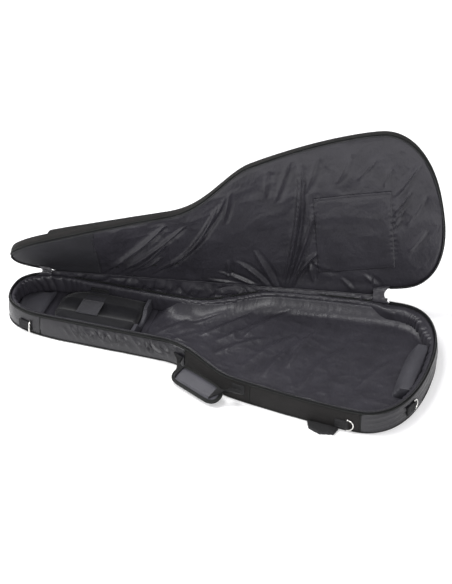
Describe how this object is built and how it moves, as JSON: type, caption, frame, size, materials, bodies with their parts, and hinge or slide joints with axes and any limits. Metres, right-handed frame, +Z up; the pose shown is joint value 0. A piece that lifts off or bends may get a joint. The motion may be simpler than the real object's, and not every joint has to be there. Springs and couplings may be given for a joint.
{
  "type": "padded gig bag",
  "caption": "Padded soft case for an electric or semi-hollow guitar, lying open: deep padded tray, zipped lid hinged along one side, neck cradle, strap, carry handle and D-rings.",
  "frame": {"origin": "centre of the flat base, on the surface that the bag lies on, midway between the head and tail tips", "axes": "+X from the head end to the tail end, +Z up out of the open tray, -Y towards the side with the carry handle; the lid's hinge is on the +Y side"},
  "size_m": [1.1126, 0.5717, 0.5379],
  "materials": {
    "cordura": "matte",
    "sheen_nylon": "satin",
    "lining": "satin",
    "matte_lining": "matte",
    "foam": "matte",
    "padding": "matte",
    "velour": "matte",
    "webbing": "matte",
    "strap_patch": "matte",
    "binding": "matte",
    "zip_tape": "matte",
    "zip_teeth": "satin",
    "zip_metal": "satin",
    "nickel": "polished",
    "pocket_cloth": "matte"
  },
  "bodies": {
    "tray": {"base_panel": "cordura", "base_foam": "foam", "floor_lining": "lining", "head_floor_pad": "lining", "neck_cradle": "velour", "cradle_rib": "lining", "end_block": "padding", "wall_foam_head": "foam", "wall_foam_neck_near": "foam", "wall_foam_neck_far": "foam", "wall_foam_shoulder_near": "foam", "wall_foam_shoulder_far": "foam", "wall_foam_body_near": "foam", "wall_foam_body_far": "foam", "wall_foam_tail": "foam", "side_panel_head": "sheen_nylon", "side_panel_neck_near": "sheen_nylon", "side_panel_shoulder_near": "cordura", "side_panel_body_near": "cordura", "side_panel_tail": "sheen_nylon", "side_panel_far": "cordura", "wall_lining": "lining", "tray_binding": "binding", "tray_zip_tape": "zip_tape", "tray_zip_teeth": "zip_teeth", "bottom_piping": "binding", "tray_gusset": "lining", "handle_anchors": "webbing", "ring_tabs": "webbing", "strap_tab": "webbing", "neck_strap_anchor": "webbing"},
    "handle": {"handle_grip": "sheen_nylon", "handle_webbing": "webbing"},
    "side_ring_body": {"side_ring": "nickel"},
    "tail_ring_body": {"tail_ring": "nickel"},
    "head_ring_body": {"head_ring": "nickel"},
    "neck_strap_body": {"neck_strap": "webbing", "neck_strap_pad": "strap_patch"},
    "head_slider_body": {"zip_slider_head": "zip_metal"},
    "head_pull_body": {"zip_pull_head": "zip_metal"},
    "tail_slider_body": {"zip_slider_tail": "zip_metal"},
    "tail_pull_body": {"zip_pull_tail": "zip_metal"},
    "lid": {"lid_shell": "cordura", "lid_foam": "foam", "lid_lining": "lining", "lid_head_panel": "matte_lining", "lid_patch": "lining", "lid_binding": "binding", "lid_zip_tape": "zip_tape", "lid_zip_teeth": "zip_teeth", "lid_gusset": "lining", "neck_pocket": "pocket_cloth", "neck_pocket_flap": "cordura", "body_pocket": "pocket_cloth", "body_pocket_zip": "zip_tape"},
    "body_pocket_slider_body": {"body_pocket_slider": "zip_metal"},
    "body_pocket_pull_body": {"body_pocket_pull": "zip_metal"}
  },
  "joints": [
    {"name": "lid_hinge", "type": "hinge", "parent": "tray", "child": "lid", "pos_m": [-0.47, 0.09011, 0.0663], "axis": [-0.9841, -0.1777, 0], "range_deg": [-91, 84]},
    {"name": "handle_swing", "type": "hinge", "parent": "tray", "child": "handle", "pos_m": [0.027, -0.15775, 0.038], "axis": [-0.8894, 0.4571, 0], "range_deg": [-6, 62]},
    {"name": "side_ring_swing", "type": "hinge", "parent": "tray", "child": "side_ring_body", "pos_m": [0.39888, -0.2297, 0.0205], "axis": [0, 0, -1], "range_deg": [0, 130]},
    {"name": "tail_ring_swing", "type": "hinge", "parent": "tray", "child": "tail_ring_body", "pos_m": [0.53552, -0.11817, 0.028], "axis": [0, 0, -1], "range_deg": [0, 130]},
    {"name": "head_ring_swing", "type": "hinge", "parent": "tray", "child": "head_ring_body", "pos_m": [-0.46167, -0.09269, 0.022], "axis": [0, 0, -1], "range_deg": [-70, 50]},
    {"name": "neck_strap_lift", "type": "hinge", "parent": "tray", "child": "neck_strap_body", "pos_m": [-0.334, 0.07032, 0.0422], "axis": [-1, 0, 0], "range_deg": [0, 78]},
    {"name": "head_slider_travel", "type": "slide", "parent": "tray", "child": "head_slider_body", "axis": [-0.9493, -0.3144, 0], "range_m": [0, 0.0045]},
    {"name": "tail_slider_travel", "type": "slide", "parent": "tray", "child": "tail_slider_body", "axis": [0.9985, 0.0552, 0], "range_m": [0, 0.012]},
    {"name": "head_pull_swing", "type": "hinge", "parent": "head_slider_body", "child": "head_pull_body", "pos_m": [-0.48425, 0.08746, 0.066], "axis": [-0.9493, -0.3144, 0], "range_deg": [-75, 0]},
    {"name": "tail_pull_swing", "type": "hinge", "parent": "tail_slider_body", "child": "tail_pull_body", "pos_m": [0.36976, 0.22873, 0.066], "axis": [-0.9985, -0.0552, 0], "range_deg": [-75, 0]},
    {"name": "body_pocket_slider_travel", "type": "slide", "parent": "lid", "child": "body_pocket_slider_body", "axis": [0.9679, 0.1779, 0.1777], "range_m": [0, 0.235]},
    {"name": "body_pocket_pull_swing", "type": "hinge", "parent": "body_pocket_slider_body", "child": "body_pocket_pull_body", "pos_m": [0.12657, 0.25897, 0.39024], "axis": [0.9679, 0.1779, 0.1777], "range_deg": [0, 150]}
  ]
}
